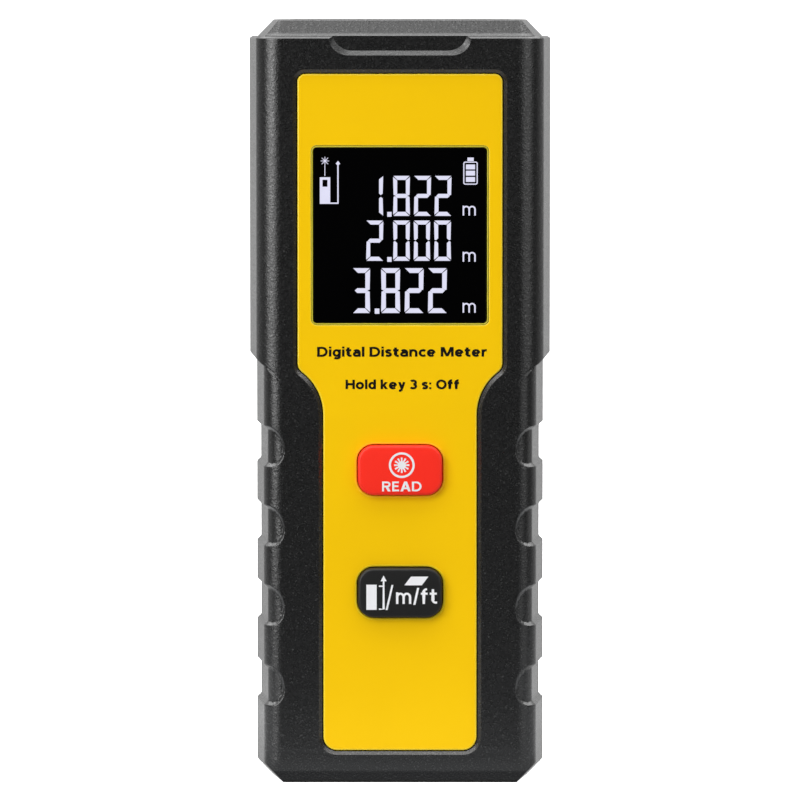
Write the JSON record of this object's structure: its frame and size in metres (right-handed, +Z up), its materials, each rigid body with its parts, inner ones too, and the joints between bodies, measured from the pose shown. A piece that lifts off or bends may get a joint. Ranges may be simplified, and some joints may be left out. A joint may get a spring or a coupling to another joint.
{
  "type": "laser distance meter",
  "caption": "Slim hand-held laser distance meter: textured black case, yellow face panel, square display, red and black keys, lens window in the end, battery door in the back.",
  "frame": {"origin": "centre of the lower end face, where the meter stands upright", "axes": "+Z up along the length towards the lens end, -Y out of the display face, +X to the right of someone who reads the display"},
  "size_m": [0.0416, 0.0244, 0.105],
  "materials": {
    "shell": "fine spark-eroded texture, black",
    "seal": "matt",
    "panel": "satin yellow",
    "window": "gloss, dark tinted",
    "red_key": "satin red",
    "black_key": "satin black",
    "chip": "matt",
    "light_guide": "white",
    "foam": "closed-cell foam",
    "lcd": "polished",
    "board": "solder mask",
    "tin": "tinned",
    "alloy": "as cast",
    "optic": "coated",
    "filter": "polished",
    "brass": "turned",
    "gloss": "gloss black",
    "cell": "plain printed sleeve",
    "label": "plain foil, nothing printed",
    "screw": "dark zinc"
  },
  "bodies": {
    "housing": {"front_shell": "shell", "rear_shell": "shell", "case_seal": "seal", "face_panel": "panel", "display_window": "window", "measure_switch_body": "chip", "units_switch_body": "chip", "display_gasket": "foam", "lcd_glass": "lcd", "lcd_backlight": "light_guide", "lcd_contact_strip": "seal", "main_board": "board", "processor_chip": "chip", "shield_can": "tin", "buzzer": "chip", "optical_block": "alloy", "receiver_lens": "optic", "bandpass_filter": "filter", "photodiode": "tin", "laser_barrel": "brass", "laser_diode": "brass", "collimator_lens": "optic", "lens_bezel": "gloss", "receiver_window": "optic", "laser_window": "optic", "battery_left": "cell", "battery_right": "cell", "spring_lower": "tin", "spring_upper": "tin", "contact_positive": "tin", "contact_negative": "tin", "contact_bridge": "tin", "rear_label": "label", "case_screw_1": "screw", "case_screw_2": "screw", "case_screw_3": "screw", "case_screw_4": "screw", "board_screw_1": "screw", "board_screw_2": "screw", "board_screw_3": "screw", "board_screw_4": "screw"},
    "measure_key": {"measure_button": "red_key", "measure_switch_plunger": "light_guide"},
    "units_key": {"units_button": "black_key", "units_switch_plunger": "light_guide"},
    "battery_cover": {"battery_door": "shell", "battery_pad": "foam"},
    "cover_latch": {"battery_latch": "shell"}
  },
  "joints": [
    {"name": "measure_press", "type": "slide", "parent": "housing", "child": "measure_key", "axis": [0, 1, 0], "range_m": [0, 0.0006], "stiffness_N_per_m": 900, "springref_m": -0.0003},
    {"name": "units_press", "type": "slide", "parent": "housing", "child": "units_key", "axis": [0, 1, 0], "range_m": [0, 0.0006], "stiffness_N_per_m": 900, "springref_m": -0.0003},
    {"name": "door_tilt", "type": "hinge", "parent": "housing", "child": "battery_cover", "pos_m": [0, 0.0122, 0.0091], "axis": [-1, 0, 0], "range_deg": [0, 75]},
    {"name": "latch_slide", "type": "slide", "parent": "battery_cover", "child": "cover_latch", "axis": [0, 0, -1], "range_m": [0, 0.001], "stiffness_N_per_m": 500, "springref_m": -0.0005}
  ]
}
